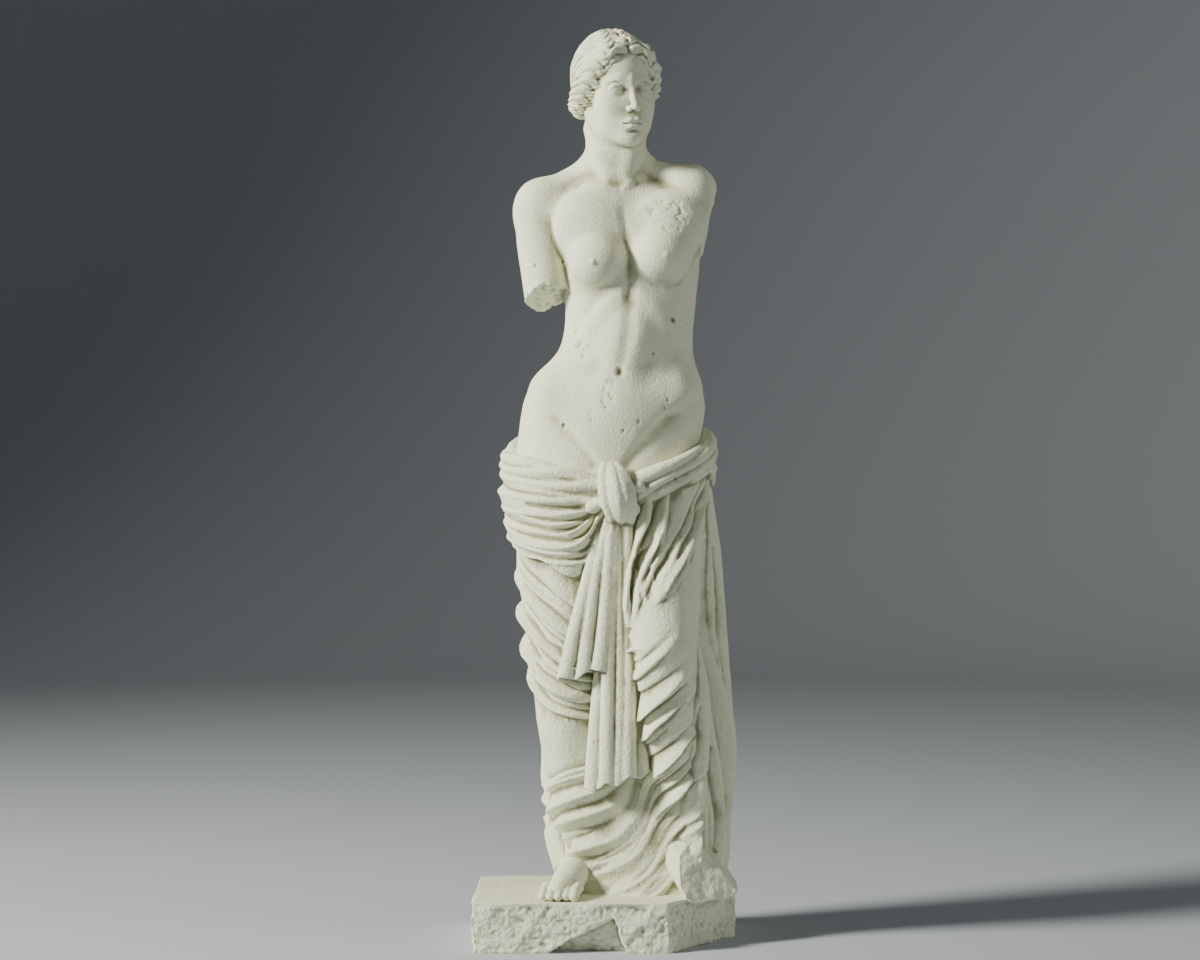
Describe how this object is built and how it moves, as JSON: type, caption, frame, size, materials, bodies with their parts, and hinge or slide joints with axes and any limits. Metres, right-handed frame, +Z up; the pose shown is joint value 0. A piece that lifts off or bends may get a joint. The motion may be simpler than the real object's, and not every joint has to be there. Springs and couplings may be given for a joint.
{
  "type": "statue",
  "caption": "Standing half-draped Aphrodite cast in one with a rough slab, her arms and left foot broken off and a cloak knotted low on her hips.",
  "frame": {"origin": "on the underside of the slab, below the figure's middle line at the height of its shoulders", "axes": "+Z up along the figure, -Y the way she stands facing, +X towards her left side"},
  "size_m": [0.2175, 0.1464, 0.7503],
  "materials": {
    "cast_plaster": "matt white marble-powder plaster with a fine sandy grain"
  },
  "bodies": {
    "root": {"aphrodite_statue": "cast_plaster"}
  },
  "joints": []
}
